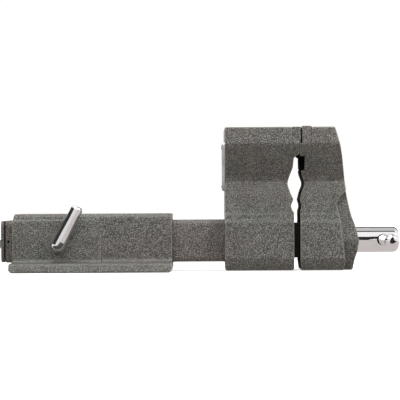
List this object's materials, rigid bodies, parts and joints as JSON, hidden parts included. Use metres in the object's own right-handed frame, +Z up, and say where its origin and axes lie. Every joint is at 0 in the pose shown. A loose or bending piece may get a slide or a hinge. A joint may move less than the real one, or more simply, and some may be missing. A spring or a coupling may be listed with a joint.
{
  "type": "sliding beam vise",
  "caption": "Cast iron vise on a square sliding beam, in a bolt-down sleeve with a clamp lever; screw-driven front jaw with a tommy bar.",
  "frame": {"origin": "centre of the base's four bolt holes, on the face that sits on the bench", "axes": "+X along the beam towards the jaws and the screw's head, +Z up from the bench, -Y towards the side with the clamp lever"},
  "size_m": [0.4862, 0.2015, 0.1718],
  "materials": {
    "paint": "grey-green hammertone enamel over cast iron, satin",
    "paint_beam": "grey hammertone enamel over steel tube, slightly browner, satin",
    "chrome": "bright chrome plate",
    "black_steel": "black oxide fasteners",
    "badge": "brushed blank plate",
    "bare_iron": "machined iron, oiled",
    "black_plastic": "black moulded plug",
    "zinc": "zinc plated",
    "oiled_steel": "dark oiled steel",
    "bronze": "bronze washer",
    "spring_steel": "spring steel"
  },
  "bodies": {
    "base": {"base_sleeve": "paint"},
    "clamp": {"clamp_lever": "chrome"},
    "beam": {"beam_tube": "paint_beam", "rear_jaw": "paint", "rear_jaw_plate": "paint", "rear_plate_screws": "black_steel", "badge_plate": "badge", "badge_rivets": "badge", "lead_nut": "bare_iron", "nut_bolts": "black_steel", "end_plug": "black_plastic", "plug_pins": "black_steel", "end_cap": "paint", "end_cap_bolt": "zinc"},
    "front": {"front_jaw": "paint", "front_jaw_plate": "paint", "front_plate_screws": "black_steel", "slide_channel": "oiled_steel", "thrust_washer": "bronze"},
    "screw": {"lead_screw": "chrome", "return_spring": "spring_steel", "spring_washer": "zinc", "retaining_pin": "spring_steel"},
    "handle": {"handle_bar": "chrome", "handle_knob_near": "chrome", "handle_knob_far": "chrome"}
  },
  "joints": [
    {"name": "clamp_turn", "type": "hinge", "parent": "base", "child": "clamp", "pos_m": [-0.039, -0.045, 0.032], "axis": [0, -1, 0], "range_deg": [0, 115]},
    {"name": "beam_slide", "type": "slide", "parent": "base", "child": "beam", "axis": [1, 0, 0], "range_m": [-0.058, 0.1]},
    {"name": "jaw_slide", "type": "slide", "parent": "beam", "child": "front", "axis": [1, 0, 0], "range_m": [0, 0.1262]},
    {"name": "screw_turn", "type": "hinge", "parent": "front", "child": "screw", "pos_m": [0.3495, 0, 0.0362], "axis": [1, 0, 0], "range_deg": [0, 7560]},
    {"name": "handle_slide", "type": "slide", "parent": "screw", "child": "handle", "axis": [0, 1, 0], "range_m": [0, 0.0976]}
  ],
  "couplings": [
    {"joint": "jaw_slide", "follows": "screw_turn", "m_per_rad": 0.00095493}
  ]
}
